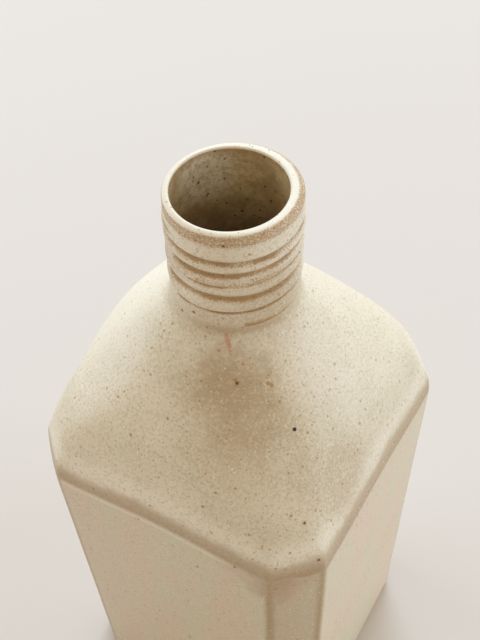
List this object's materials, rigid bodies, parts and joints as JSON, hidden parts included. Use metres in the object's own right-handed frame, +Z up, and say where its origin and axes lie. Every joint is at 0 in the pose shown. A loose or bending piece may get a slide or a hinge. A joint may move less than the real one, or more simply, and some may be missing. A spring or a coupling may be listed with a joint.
{
  "type": "ceramic bottle",
  "caption": "Handmade glazed stoneware bottle with a squared body, cut corners, a domed shoulder and a round neck with throwing rings.",
  "frame": {"origin": "centre of the flat foot, on the surface the bottle stands on", "axes": "+Z up along the neck's axis; +X and -Y out of the two sides seen together from the front"},
  "size_m": [0.1058, 0.1058, 0.24],
  "materials": {
    "glaze": "semi-gloss cream stoneware glaze, speckled, breaking brown at the edges and rings"
  },
  "bodies": {
    "root": {"bottle": "glaze"}
  },
  "joints": []
}
